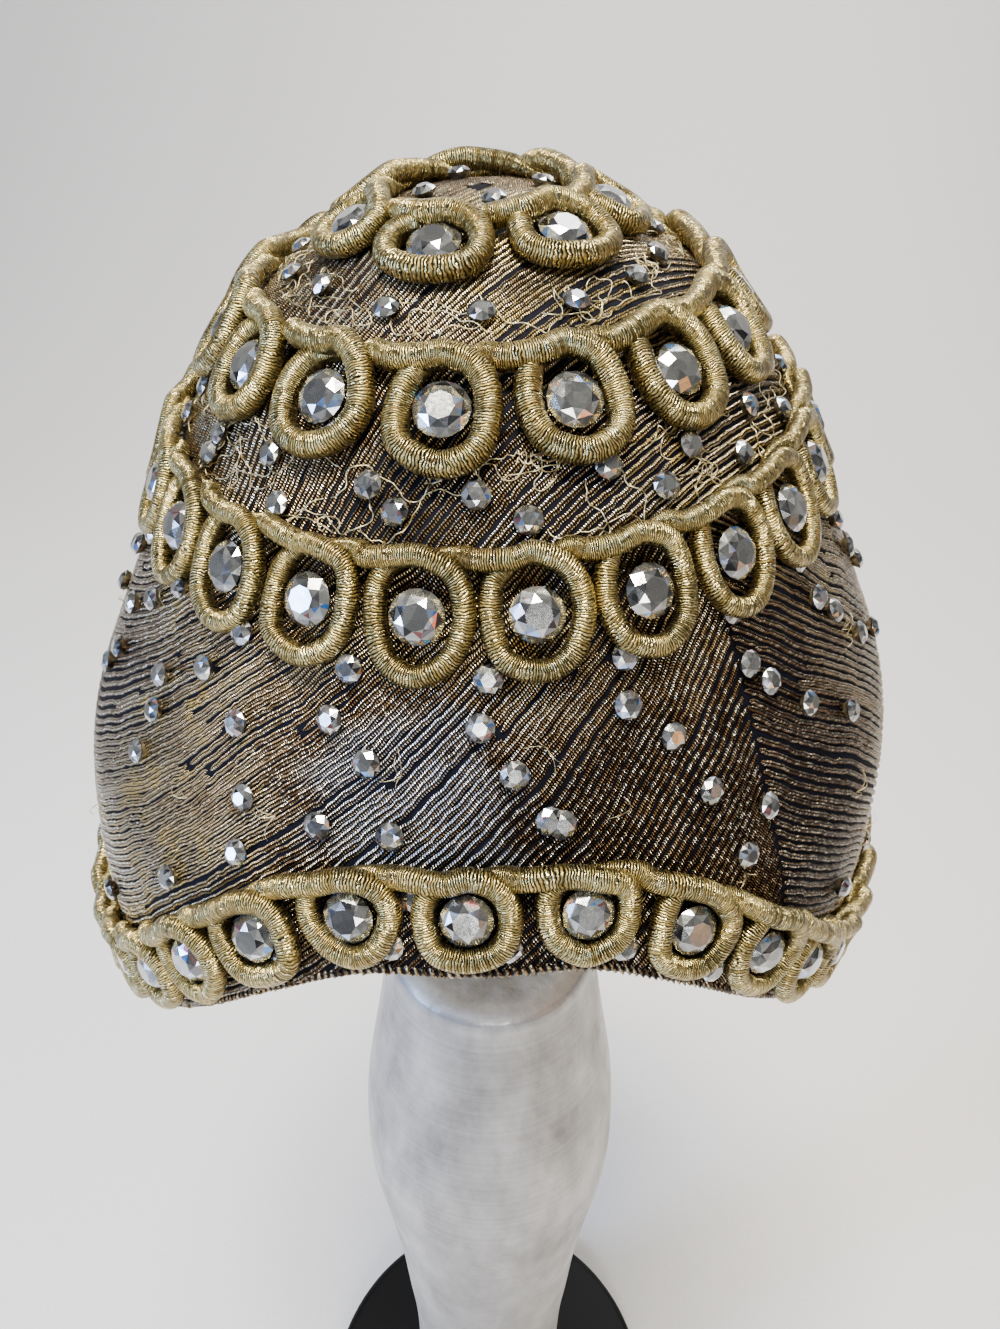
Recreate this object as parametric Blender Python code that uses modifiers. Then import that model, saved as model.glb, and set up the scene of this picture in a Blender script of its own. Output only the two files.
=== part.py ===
# A cloche cap of metallic lame, trimmed with looped gilt cord and cut stones, on a turned stand.
# Metres, +Z up, origin at the middle of the base's underside, front of the cap towards -Y.
import math

import bmesh
import bpy
import numpy as np
from mathutils import Matrix, Vector

SEAT_GAP = 0.0003        # clearance between a piece and what carries it
TRIM_GAP = 0.0004        # clearance between the cap and the cord or stones sewn on it

# Stand
BASE_RADIUS = 0.080
BASE_THICKNESS = 0.012
BASE_EDGE = 0.004        # rounding of the base's upper edge
POST_RADIUS = 0.0425     # at the post's belly
POST_HEIGHT = 0.366
STEM_RADIUS = 0.010
STEM_TENON = 0.020       # length of the stem inside the post
FORM_SOCKET = 0.010      # depth of the form's socket over the stem
FORM_REACH = 0.044       # from the crown's middle to the form's edge, along the cap
CROWN_RISE = 0.202       # from the post's top to the crown's middle

# Cap
CAP_HALF_WIDTH = 0.0875
CAP_LENGTH_RATIO = 1.17  # front to back over side to side
CAP_DEPTH = 0.148        # from the crown to the rim at the sides
CAP_WALL = 0.0016
CAP_LEAN = math.radians(2.7)
LEAN_PIVOT = 0.0620       # below the crown
CAP_SWING = 0.0070       # how far the cap has slumped sideways by the time it reaches the rim

# Cord and stones
CORD_WIDTH = 0.0036
STONE_RISE = 0.0037      # height of a stone
STONE_TABLE = 0.55       # width of its table over its width
STONE_FUSE = 0.00025     # how far a fused stone's back reaches under its cord
LOOP_HALF_WIDTH = 0.0075 # of the widest loop, to the middle of its cord
LOOP_HEIGHT = 0.0160     # of the tallest loop
STONE_RADIUS = 0.0044    # of the largest stone

SLOPE_STEP = 0.001       # distance along the cap over which its slope is measured
TURN_STEP = 0.01         # and the angle round it, in radians

CAP_COLUMNS = 28
FORM_ROWS = 4            # rows of faces over the form, then the cap's others down to the rim
LOWER_ROWS = 8
LOWER_SPREAD = 1.3       # the lower rows grow towards the rim, where the cap is straighter
TURN_STEPS = 20

# The cap's section: how far out (share of CAP_HALF_WIDTH) at each drop (share of CAP_DEPTH)
CAP_SECTION = (
    # out, drop
    (0.000, 0.000), (0.114, 0.007), (0.229, 0.028), (0.343, 0.064), (0.461, 0.105), (0.534, 0.152),
    (0.598, 0.203), (0.666, 0.260), (0.771, 0.378), (0.873, 0.497), (0.961, 0.611), (0.993, 0.726),
    (0.998, 0.848), (1.000, 0.946), (0.995, 1.030), (0.990, 1.120),
)

# The rim's arch: its drop (share of CAP_DEPTH) at each angle from the front, the same on both sides
RIM_ARCH = (
    # degrees, drop
    (0, 0.595), (12, 0.602), (22, 0.655), (31, 0.735), (40, 0.825), (53, 0.920), (66, 0.970),
    (80, 1.000), (110, 1.000), (145, 0.970), (180, 0.950),
)

# The post's outline: radius (share of POST_RADIUS) at each height (share of POST_HEIGHT)
POST_OUTLINE = (
    # radius, height
    (0.690, 1.000), (0.715, 0.985), (0.832, 0.900), (0.963, 0.800), (1.000, 0.700), (0.920, 0.600),
    (0.842, 0.500), (0.800, 0.410), (0.757, 0.320), (0.748, 0.220), (0.755, 0.100), (0.770, 0.000),
)

# One loop of cord, run clockwise as seen from outside. The last row lies half way to the next loop.
LOOP_PATH = (
    # across (share of half width), down (share of height), lift (cord widths), thickness (share)
    (-0.62, -0.03, 0.66, 1.00),
    (0.30, -0.04, 0.78, 1.00),
    (0.98, 0.28, 0.48, 1.00),
    (0.92, 0.75, 0.00, 1.00),
    (0.00, 1.04, 0.00, 1.00),
    (-0.92, 0.75, 0.00, 1.00),
    (-0.96, 0.29, 0.00, 0.46),
    (0.60, 0.00, 0.00, 0.34),
    (None, 0.05, 0.00, 1.00),
)

# The rings of loops: how many, and the share of a named size for each length. drop is the loops'
# middle below the crown, along the cap (share of CAP_DEPTH); the rim's ring follows the rim, and
# its drop is the loops' middle above the rim's edge. half is a share of LOOP_HALF_WIDTH, height
# of LOOP_HEIGHT and stone of STONE_RADIUS. turn is the angle of one loop, bunch is how much closer
# the loops lie at the front than on average, and sides are the cord's.
RINGS = {
    "crown": dict(loops=7, drop=0.152, half=1.000, height=0.875, turn=-17, bunch=0.00, stone=1.000, sides=5),
    "upper": dict(loops=14, drop=0.338, half=0.867, height=0.920, turn=-7, bunch=0.15, stone=0.932, sides=5),
    "middle": dict(loops=22, drop=0.524, half=0.813, height=1.000, turn=-9, bunch=0.12, stone=0.841, sides=5),
    "rim": dict(loops=36, drop=0.062, half=0.813, height=0.863, turn=-1, bunch=0.00, stone=None, sides=4),
}


def smooth_line(rows, steps):
    """Points on a smooth curve through the rows, with `steps` points for each span."""
    pts = np.array(rows, float)
    ends = np.vstack([2 * pts[0] - pts[1], pts, 2 * pts[-1] - pts[-2]])
    out = []
    for k in range(len(pts) - 1):
        a, b, c, d = ends[k:k + 4]
        for j in range(steps):
            t = j / steps
            out.append(0.5 * (2 * b + (c - a) * t + (2 * a - 5 * b + 4 * c - d) * t ** 2
                              + (3 * b - a - 3 * c + d) * t ** 3))
    out.append(pts[-1])
    return np.array(out)


CROWN_MIRROR = (-CAP_SECTION[1][0], CAP_SECTION[1][1])
SECTION = smooth_line((CROWN_MIRROR,) + CAP_SECTION, 8)[8:] * (CAP_HALF_WIDTH, CAP_DEPTH)
SECTION_ARC = np.concatenate([[0], np.cumsum(np.hypot(*np.diff(SECTION, axis=0).T))])
ARCH = smooth_line(RIM_ARCH, 6)
CROWN_Z = BASE_THICKNESS + POST_HEIGHT + CROWN_RISE


def section_at(arc):
    """Distance from the axis and drop below the crown, at a distance along the cap."""
    return np.interp(arc, SECTION_ARC, SECTION[:, 0]), np.interp(arc, SECTION_ARC, SECTION[:, 1])


def upright_point(angle, arc):
    out, drop = section_at(arc)
    across = out * math.sin(angle) - CAP_SWING * (drop / CAP_DEPTH) ** 2
    return np.array([across, -CAP_LENGTH_RATIO * out * math.cos(angle), -drop])


def directions(angle, arc):
    """How the cap's surface moves with the angle and with the arc, and its outward normal."""
    arc = max(arc, 2 * SLOPE_STEP)
    turned_by = upright_point(angle + TURN_STEP, arc) - upright_point(angle - TURN_STEP, arc)
    moved_by = upright_point(angle, arc + SLOPE_STEP) - upright_point(angle, arc - SLOPE_STEP)
    by_angle = turned_by / (2 * TURN_STEP)
    by_arc = moved_by / (2 * SLOPE_STEP)
    normal = np.cross(by_arc, by_angle)
    return by_angle, by_arc, normal / np.linalg.norm(normal)


def leaned(vector):
    """Turn a vector from the cap's upright frame by its lean on the form."""
    x, y, z = vector
    c, s = math.cos(CAP_LEAN), math.sin(CAP_LEAN)
    return np.array([x * c - z * s, y, x * s + z * c])


def hat_point(angle, arc, lift=0.0):
    """A point on the cap's outside, or lifted off it, as it sits on the stand."""
    normal = directions(angle, arc)[2] if arc > SLOPE_STEP / 2 else np.array([0.0, 0.0, 1.0])
    at = upright_point(angle, arc) + lift * normal + (0, 0, LEAN_PIVOT)
    return leaned(at) + (0, 0, CROWN_Z - LEAN_PIVOT)


def rim_arc(angle):
    """Distance along the cap from the crown to the rim, at an angle from the front."""
    degrees = abs((math.degrees(angle) + 180) % 360 - 180)
    drop = np.interp(degrees, ARCH[:, 0], ARCH[:, 1]) * CAP_DEPTH
    return np.interp(drop, SECTION[:, 1], SECTION_ARC)


class Guide:
    """A line round the cap, through its angles and arcs, measured by its length."""

    def __init__(self, places):
        self.angles, self.arcs = np.array(places).T
        pts = np.array([upright_point(a, s) for a, s in zip(self.angles, self.arcs)])
        steps = np.linalg.norm(np.diff(pts, axis=0), axis=1)
        self.runs = np.concatenate([[0], np.cumsum(steps)])
        self.length = self.runs[-1]

    def at(self, run):
        turns, rest = divmod(run, self.length)
        angle = np.interp(rest, self.runs, self.angles)
        return angle + turns * 2 * math.pi, np.interp(rest, self.runs, self.arcs)

    def run_of(self, angle):
        return np.interp(angle, self.angles, self.runs)

    def heading(self, run):
        ahead, behind = self.at(run + 2 * SLOPE_STEP), self.at(run - 2 * SLOPE_STEP)
        return upright_point(*ahead) - upright_point(*behind)

    def beside(self, run, down):
        """The angle and arc of a point on the cap at a distance square to the line."""
        angle, arc = self.at(run)
        by_angle, by_arc, normal = directions(angle, arc)
        square = np.cross(self.heading(run), normal)
        square *= down / np.linalg.norm(square)
        ways = np.array([by_angle, by_arc])
        turned_by, moved_by = np.linalg.solve(ways @ ways.T, ways @ square)
        return angle + turned_by, arc + moved_by


def ring_guide(ring):
    """The line through the middles of a ring's loops."""
    drop = ring["drop"] * CAP_DEPTH
    around = np.radians(np.arange(-180, 181, 1.0))
    if ring["stone"] is None:
        rim = Guide([(angle, rim_arc(angle)) for angle in around])
        return Guide([rim.beside(run, -drop) for run in rim.runs])
    return Guide([(angle, drop) for angle in around])


def loop_places(ring):
    """The run of each loop's middle along the ring's guide."""
    guide = ring_guide(ring)
    front = guide.run_of(0.0)
    first = (guide.run_of(math.radians(ring["turn"])) - front) / guide.length
    places = []
    for k in range(ring["loops"]):
        share = first + k / ring["loops"]
        bunched = ring["bunch"] * math.sin(2 * math.pi * share) / (2 * math.pi)
        places.append(front + (share - bunched) * guide.length)
    return guide, places


def new_object(name, mesh, color, roughness, metallic, collection):
    obj = bpy.data.objects.new(name, mesh)
    collection.objects.link(obj)
    mat = bpy.data.materials.new(name)
    mat.use_nodes = True
    bsdf = mat.node_tree.nodes["Principled BSDF"]
    bsdf.inputs["Base Color"].default_value = (*color, 1)
    bsdf.inputs["Roughness"].default_value = roughness
    bsdf.inputs["Metallic"].default_value = metallic
    mesh.materials.append(mat)
    return obj


def mesh_from(bm, name, smooth=True):
    mesh = bpy.data.meshes.new(name)
    bm.to_mesh(mesh)
    bm.free()
    if smooth:
        mesh.shade_smooth()
        mesh.set_sharp_from_angle(angle=math.radians(40))
    return mesh


def crown_bmesh(rows, arc_at, lift):
    """Half a sphere's mesh laid on the cap: rows of faces out from the crown, open below."""
    bm = bmesh.new()
    bmesh.ops.create_uvsphere(bm, u_segments=CAP_COLUMNS, v_segments=2 * rows, radius=1)
    below = [v for v in bm.verts if v.co.z < -1 / (4 * rows)]
    bmesh.ops.delete(bm, geom=below, context="VERTS")
    for v in bm.verts:
        row = round(math.acos(min(1, v.co.z)) / (math.pi / 2) * rows)
        angle = math.atan2(v.co.x, -v.co.y)
        v.co = hat_point(angle, arc_at(row, angle), lift)
    return bm


def cap_arc(row, angle):
    if row <= FORM_ROWS:
        return FORM_REACH * row / FORM_ROWS
    share = ((row - FORM_ROWS) / LOWER_ROWS) ** LOWER_SPREAD
    return FORM_REACH + (rim_arc(angle) - FORM_REACH) * share


def make_cap(parts):
    bm = crown_bmesh(FORM_ROWS + LOWER_ROWS, cap_arc, 0.0)
    cap = new_object("cap", mesh_from(bm, "cap"), (0.42, 0.30, 0.16), 0.35, 0.9, parts)
    wall = cap.modifiers.new("wall", "SOLIDIFY")
    wall.thickness = CAP_WALL
    wall.offset = -1


def cord_section(ring):
    """The distance of the cord's corners and of its flats from its middle."""
    flat = math.cos(math.pi / ring["sides"])
    corner = CORD_WIDTH / (1 + flat)
    return corner, corner * flat


def cord_rows(ring):
    """The middle, the outward direction and the thickness of each section of a ring's cord."""
    guide, places = loop_places(ring)
    flat = cord_section(ring)[1]
    rows = []
    for place, after in zip(places, places[1:] + [places[0] + guide.length]):
        for across, down, lift, thick in LOOP_PATH:
            half_way = (after - place) / 2
            run = place + (half_way if across is None else across * ring["half"] * LOOP_HALF_WIDTH)
            angle, arc = guide.beside(run, (down - 0.5) * ring["height"] * LOOP_HEIGHT)
            high = TRIM_GAP + lift * CORD_WIDTH + flat * thick
            rows.append((hat_point(angle, arc, high), leaned(directions(angle, arc)[2]), thick))
    return rows


def cord_mesh(ring, name):
    rows = cord_rows(ring)
    count = len(rows)
    sides = ring["sides"]
    corner = cord_section(ring)[0]
    bm = bmesh.new()
    loops = []
    for k, (middle, normal, thick) in enumerate(rows):
        along = rows[(k + 1) % count][0] - rows[k - 1][0]
        side = np.cross(along, normal)
        side /= np.linalg.norm(side)
        turns = [2 * math.pi * (j + 0.5) / sides - math.pi / 2 for j in range(sides)]
        loops.append([bm.verts.new(middle + corner * thick * (math.cos(a) * side + math.sin(a) * normal))
                      for a in turns])
    for k in range(count):
        one, two = loops[k], loops[(k + 1) % count]
        for j in range(sides):
            after = (j + 1) % sides
            bm.faces.new((one[j], one[after], two[after], two[j]))
    bmesh.ops.recalc_face_normals(bm, faces=bm.faces)
    return mesh_from(bm, name)


def stone_frame(guide, run, radius):
    """Where a stone sits: its middle on the cap, turned so that it faces outwards."""
    angle, arc = guide.at(run)
    normal = directions(angle, arc)[2]
    sag = radius ** 2 / (2 * CAP_HALF_WIDTH)
    return hat_point(angle, arc, TRIM_GAP + sag), leaned(normal), leaned(guide.heading(run))


def stone_matrix(middle, normal, across):
    z = Vector(normal).normalized()
    y = z.cross(Vector(across)).normalized()
    x = y.cross(z)
    turn = Matrix((x, y, z)).transposed().to_4x4()
    return Matrix.Translation(Vector(middle)) @ turn


def stone_bmesh(bm, radius, matrix):
    """A flat-backed cut stone: eight facets round a table."""
    bmesh.ops.create_cone(bm, cap_ends=True, segments=8, radius1=radius,
                          radius2=radius * STONE_TABLE, depth=STONE_RISE,
                          matrix=matrix @ Matrix.Translation((0, 0, STONE_RISE / 2)))


def make_stones(name, ring, parts):
    guide, places = loop_places(ring)
    radius = ring["stone"] * STONE_RADIUS
    bm = bmesh.new()
    stone_bmesh(bm, radius, Matrix())
    mesh = mesh_from(bm, name + "_stone", smooth=False)
    for k, place in enumerate(places, 1):
        obj = new_object(f"{name}_stone_{k}", mesh.copy(), (0.75, 0.78, 0.80), 0.05, 0.3, parts)
        obj.matrix_world = stone_matrix(*stone_frame(guide, place, radius))


def make_scroll(name, ring, parts):
    mesh = cord_mesh(ring, name + "_scroll")
    return new_object(name + "_scroll", mesh, (0.50, 0.34, 0.15), 0.4, 0.8, parts)


def fuse_rim_stones(scroll, ring, cutters):
    """The rim's stones, whose wide backs reach under the cord round them."""
    guide, places = loop_places(ring)
    cord_flat = cord_section(ring)[0] * math.sin(math.pi / ring["sides"])
    radius = ring["half"] * LOOP_HALF_WIDTH - cord_flat + STONE_FUSE
    bm = bmesh.new()
    for place in places:
        stone_bmesh(bm, radius, stone_matrix(*stone_frame(guide, place, radius)))
    stones = new_object("rim_stones", mesh_from(bm, "rim_stones", smooth=False),
                        (0.75, 0.78, 0.80), 0.05, 0.3, cutters)
    stones.hide_render = True
    stones.display_type = "WIRE"
    union = scroll.modifiers.new("stones", "BOOLEAN")
    union.operation = "UNION"
    union.object = stones


def turned(name, outline, color, roughness, metallic, collection):
    """A turned piece from its outline, given from the axis round the outside to the axis."""
    bm = bmesh.new()
    verts = [bm.verts.new((radius, 0, height)) for radius, height in outline]
    for one, two in zip(verts, verts[1:]):
        bm.edges.new((one, two))
    obj = new_object(name, mesh_from(bm, name, smooth=False), color, roughness, metallic, collection)
    screw = obj.modifiers.new("turn", "SCREW")
    screw.steps = TURN_STEPS
    screw.render_steps = TURN_STEPS
    screw.use_merge_vertices = True
    screw.merge_threshold = SEAT_GAP / 10
    screw.use_smooth_shade = True
    return obj


def make_base(parts):
    edge = [(BASE_RADIUS - BASE_EDGE * (1 - math.sin(a)), BASE_THICKNESS - BASE_EDGE * (1 - math.cos(a)))
            for a in np.radians((0, 30, 60, 90))]
    turned("base", [(0, BASE_THICKNESS)] + edge + [(BASE_RADIUS, 0), (0, 0)],
           (0.01, 0.01, 0.01), 0.3, 0.0, parts)


def make_post(parts):
    foot = BASE_THICKNESS + SEAT_GAP
    top = BASE_THICKNESS + POST_HEIGHT
    bore = STEM_RADIUS + SEAT_GAP
    floor = top - STEM_TENON - SEAT_GAP
    outside = [(r * POST_RADIUS, foot + h * (top - foot)) for r, h in POST_OUTLINE]
    turned("post", [(0, floor), (bore, floor), (bore, top)] + outside + [(0, foot)],
           (0.60, 0.60, 0.60), 0.35, 0.9, parts)


def rod(name, low, high, radius, collection, color=(0.10, 0.10, 0.10)):
    bm = bmesh.new()
    bmesh.ops.create_cone(bm, cap_ends=True, segments=16, radius1=radius, radius2=radius,
                          depth=high - low, matrix=Matrix.Translation((0, 0, (low + high) / 2)))
    return new_object(name, mesh_from(bm, name), color, 0.5, 0.3, collection)


def form_floor():
    """The lowest height of the form's underside."""
    return min(hat_point(a, FORM_REACH, -CAP_WALL - SEAT_GAP)[2] for a in np.radians(range(0, 360, 10)))


def make_form(parts, cutters):
    lift = -CAP_WALL - SEAT_GAP
    bm = crown_bmesh(FORM_ROWS, lambda row, angle: FORM_REACH * row / FORM_ROWS, lift)
    rim = [e for e in bm.edges if e.is_boundary]
    bmesh.ops.contextual_create(bm, geom=rim)
    bmesh.ops.recalc_face_normals(bm, faces=bm.faces)
    form = new_object("hat_form", mesh_from(bm, "hat_form"), (0.08, 0.08, 0.08), 0.7, 0.0, parts)
    socket = rod("socket", form_floor() - FORM_SOCKET, form_floor() + FORM_SOCKET + SEAT_GAP,
                 STEM_RADIUS + SEAT_GAP, cutters)
    socket.hide_render = True
    socket.display_type = "WIRE"
    cut = form.modifiers.new("socket", "BOOLEAN")
    cut.operation = "DIFFERENCE"
    cut.object = socket


def make_stem(parts):
    low = BASE_THICKNESS + POST_HEIGHT - STEM_TENON
    rod("stem", low, form_floor() + FORM_SOCKET, STEM_RADIUS, parts)


def main():
    for obj in list(bpy.data.objects):
        bpy.data.objects.remove(obj)
    parts = bpy.data.collections.new("cloche hat on a turned stand")
    cutters = bpy.data.collections.new("cutters")
    for collection in (parts, cutters):
        bpy.context.scene.collection.children.link(collection)
    make_base(parts)
    make_post(parts)
    make_stem(parts)
    make_form(parts, cutters)
    make_cap(parts)
    for name, ring in RINGS.items():
        if ring["stone"] is None:
            fuse_rim_stones(make_scroll(name, ring, parts), ring, cutters)
        else:
            make_scroll(name, ring, parts)
            make_stones(name, ring, parts)


main()
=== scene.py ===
# Looks for a jewelled lame cloche cap on a turned silver-leaf stand.
# Metres, +Z up, the front of the cap towards -Y.
import math
import random
from functools import partial

import bmesh
import bpy
import numpy as np
from mathutils import Matrix, Vector, noise


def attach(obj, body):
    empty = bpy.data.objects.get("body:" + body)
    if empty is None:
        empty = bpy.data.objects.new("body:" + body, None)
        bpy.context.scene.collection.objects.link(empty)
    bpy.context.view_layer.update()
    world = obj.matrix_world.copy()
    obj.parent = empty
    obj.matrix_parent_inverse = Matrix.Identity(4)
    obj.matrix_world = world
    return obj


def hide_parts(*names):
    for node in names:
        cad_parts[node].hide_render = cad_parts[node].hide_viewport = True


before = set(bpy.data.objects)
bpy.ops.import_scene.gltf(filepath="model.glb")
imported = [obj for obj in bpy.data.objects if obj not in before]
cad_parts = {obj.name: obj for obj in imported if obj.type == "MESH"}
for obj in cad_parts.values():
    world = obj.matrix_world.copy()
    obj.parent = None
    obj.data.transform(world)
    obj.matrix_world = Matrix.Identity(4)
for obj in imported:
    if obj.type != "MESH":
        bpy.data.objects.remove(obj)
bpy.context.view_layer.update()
print("frame loaded")


# the cap's shape, as the solids have it

capShape = {
    "halfWidth": 0.0875,
    "lengthRatio": 1.17,  # front to back over side to side
    "depth": 0.148,
    "wall": 0.0016,
    "lean": 2.7,  # degrees, towards the cap's left
    "leanPivot": 0.0620,  # below the crown
    "swing": 0.0070,  # how far it has slumped sideways by the time it reaches the rim
    "crownHeight": 0.580,
    "turnStep": 0.01,  # the angle, and below it the distance, over which its slope is measured
    "slopeStep": 0.001,
    "section": (  # out (share of halfWidth), drop (share of depth)
        (0.000, 0.000), (0.114, 0.007), (0.229, 0.028), (0.343, 0.064), (0.461, 0.105), (0.534, 0.152),
        (0.598, 0.203), (0.666, 0.260), (0.771, 0.378), (0.873, 0.497), (0.961, 0.611), (0.993, 0.726),
        (0.998, 0.848), (1.000, 0.946), (0.995, 1.030), (0.990, 1.120),
    ),
    "rim": (  # degrees from the front, drop (share of depth)
        (0, 0.595), (12, 0.602), (22, 0.655), (31, 0.735), (40, 0.825), (53, 0.920), (66, 0.970),
        (80, 1.000), (110, 1.000), (145, 0.970), (180, 0.950),
    ),
}


def smoothLine(rows, steps):  # Catmull-Rom through the rows
    points = np.array(rows, float)
    ends = np.vstack([2 * points[0] - points[1], points, 2 * points[-1] - points[-2]])
    found = []
    for k in range(len(points) - 1):
        a, b, c, d = ends[k:k + 4]
        for j in range(steps):
            t = j / steps
            found.append(0.5 * (2 * b + (c - a) * t + (2 * a - 5 * b + 4 * c - d) * t**2
                                + (3 * b - a - 3 * c + d) * t**3))
    found.append(points[-1])
    return np.array(found)


firstRow = capShape["section"][1]
mirroredRow = (-firstRow[0], firstRow[1])
sectionShares = smoothLine((mirroredRow,) + capShape["section"], 8)[8:]
sectionLine = sectionShares * (capShape["halfWidth"], capShape["depth"])
sectionArc = np.concatenate([[0], np.cumsum(np.hypot(*np.diff(sectionLine, axis=0).T))])
rimLine = smoothLine(capShape["rim"], 6)


def uprightPoint(angle, arc):  # angle from the front, arc down the cap from the crown
    out = np.interp(arc, sectionArc, sectionLine[:, 0])
    drop = np.interp(arc, sectionArc, sectionLine[:, 1])
    across = out * np.sin(angle) - capShape["swing"] * (drop / capShape["depth"])**2
    return np.stack([across, -capShape["lengthRatio"] * out * np.cos(angle), -drop + 0 * angle], -1)


def unit(vectors):
    return vectors / np.linalg.norm(vectors, axis=-1, keepdims=True)


def capSlopes(angle, arc):
    turn, step = capShape["turnStep"], capShape["slopeStep"]
    arc = np.maximum(arc, 2 * step)
    byAngle = (uprightPoint(angle + turn, arc) - uprightPoint(angle - turn, arc)) / (2 * turn)
    byArc = (uprightPoint(angle, arc + step) - uprightPoint(angle, arc - step)) / (2 * step)
    return byAngle, byArc, unit(np.cross(byArc, byAngle))


def leaned(vectors):
    cosine, sine = (f(math.radians(capShape["lean"])) for f in (math.cos, math.sin))
    x, y, z = vectors[..., 0], vectors[..., 1], vectors[..., 2]
    return np.stack([x * cosine - z * sine, y, x * sine + z * cosine], -1)


def placed(upright):  # from the cap's upright frame to where it sits on the stand
    pivot = capShape["leanPivot"]
    return leaned(upright + (0, 0, pivot)) + (0, 0, capShape["crownHeight"] - pivot)


def onCap(angle, arc, lift=0.0):
    normal = capSlopes(angle, arc)[2]
    return placed(uprightPoint(angle, arc) + np.asarray(lift)[..., None] * normal)


def rimArc(angle):
    degrees = np.abs((np.degrees(angle) + 180) % 360 - 180)
    drop = np.interp(degrees, rimLine[:, 0], rimLine[:, 1]) * capShape["depth"]
    return np.interp(drop, sectionLine[:, 1], sectionArc)


def angleArcOf(point):  # the angle and arc of a point on or near the cap, in its upright frame
    x = point[0] + capShape["swing"] * (point[2] / capShape["depth"])**2
    y = point[1] / capShape["lengthRatio"]
    angle = math.atan2(x, -y)
    if -point[2] < 0.5 * capShape["depth"]:
        return angle, float(np.interp(math.hypot(x, y), sectionLine[:-20, 0], sectionArc[:-20]))
    return angle, float(np.interp(-point[2], sectionLine[:, 1], sectionArc))


# mesh helpers


def newPiece(name, mesh, material, cadNodes, slotName):
    piece = bpy.data.objects.new(name, mesh)
    bpy.context.scene.collection.objects.link(piece)
    mesh.materials.append(material)
    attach(piece, "root")
    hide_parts(*cadNodes)
    return piece


def meshOf(bm, name, smooth=True):
    mesh = bpy.data.meshes.new(name)
    bm.to_mesh(mesh)
    bm.free()
    if smooth:
        mesh.shade_smooth()
    return mesh


def layGrid(bm, columns, rows, place, uvScale=(1, 1), uvShift=(0, 0)):  # its corners move to place(u, v)
    uvLayer = bm.loops.layers.uv.get("UVMap") or bm.loops.layers.uv.new("UVMap")
    made = bmesh.ops.create_grid(bm, x_segments=columns, y_segments=rows, size=0.5)["verts"]
    flat = np.array([v.co[:2] for v in made]) + 0.5
    spots = {v: flat[k] for k, v in enumerate(made)}
    for face in {f for v in made for f in v.link_faces}:
        for loop in face.loops:
            u, v = spots[loop.vert]
            loop[uvLayer].uv = (u * uvScale[0] + uvShift[0], v * uvScale[1] + uvShift[1])
    for vert, point in zip(made, place(flat[:, 0], flat[:, 1])):
        vert.co = point


def closeUp(bm):
    bmesh.ops.remove_doubles(bm, verts=bm.verts, dist=0.00002)
    bmesh.ops.recalc_face_normals(bm, faces=bm.faces)


# material helpers


def tone(code):  # sRGB hex to linear colour
    parts = [int(code[k:k + 2], 16) / 255 for k in (1, 3, 5)]
    return tuple(p / 12.92 if p <= 0.04045 else ((p + 0.055) / 1.055)**2.4 for p in parts) + (1,)


def addNode(tree, kind, settings=(), links=()):  # a link's source is a socket, or a node's first output
    made = tree.nodes.new("ShaderNode" + kind)
    for key, value in dict(settings).items():
        if key == "stops":
            for k, (place, colour) in enumerate(value):
                marks = made.color_ramp.elements
                mark = marks[k] if k < len(marks) else marks.new(place)
                mark.position = place
                mark.color = tone(colour) if isinstance(colour, str) else (colour, colour, colour, 1)
        elif isinstance(key, str) and hasattr(made, key):
            setattr(made, key, value)
        else:
            made.inputs[key].default_value = value
    for key, source in dict(links).items():
        if isinstance(source, bpy.types.Node):
            source = next(output for output in source.outputs if output.enabled)
        tree.links.new(source, made.inputs[key])
    return made


def newMaterial(name, settings=()):  # with what adds a node to it, and the place that is shaded
    material = bpy.data.materials.new(name)
    material.use_nodes = True
    shader = material.node_tree.nodes["Principled BSDF"]
    for key, value in dict(settings).items():
        shader.inputs[key].default_value = value
    add = partial(addNode, material.node_tree)
    return material, add, add("TexCoord").outputs["Object"]


def finishShader(material, colour, roughness, height, strength, distance):
    # links what varies, with its relief
    tree = material.node_tree
    relief = addNode(tree, "Bump", {"Strength": strength, "Distance": distance}, {"Height": height})
    for key, source in (("Base Color", colour), ("Roughness", roughness), ("Normal", relief)):
        output = next(output for output in source.outputs if output.enabled)
        tree.links.new(output, tree.nodes["Principled BSDF"].inputs[key])
    return material


def grainedFinish(name, settings, grain, stretch, shades, polish, relief):
    # one noise gives the colour, the polish and the relief
    material, add, place = newMaterial(name, settings)
    stretched = add("Mapping", {"Scale": stretch}, {"Vector": place})
    size, detail = grain
    noised = add("TexNoise", {"Scale": noiseScale(size), "Detail": detail}, {"Vector": stretched})
    colour = add("ValToRGB", {"stops": shades}, {"Fac": noised})
    rough = add("MapRange", {"To Min": polish[0], "To Max": polish[1]}, {"Value": noised})
    return finishShader(material, colour, rough, noised, *relief)


def turnsOf(add, run, pitch):  # along a thread: the rounded height of each turn, and its number
    count = add("Math", {"operation": "DIVIDE", 1: pitch}, {0: run})
    share = add("Math", {"operation": "FRACT"}, {0: count})
    arch = add("Math", {"operation": "MULTIPLY", 1: math.pi}, {0: share})
    return add("Math", {"operation": "SINE"}, {0: arch}), add("Math", {"operation": "FLOOR"}, {0: count})


def noiseScale(size):  # for blotches of about this size in millimetres
    return 1000.0 / size


# the lame: gilt strands woven in paired ribs over dark silk

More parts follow.
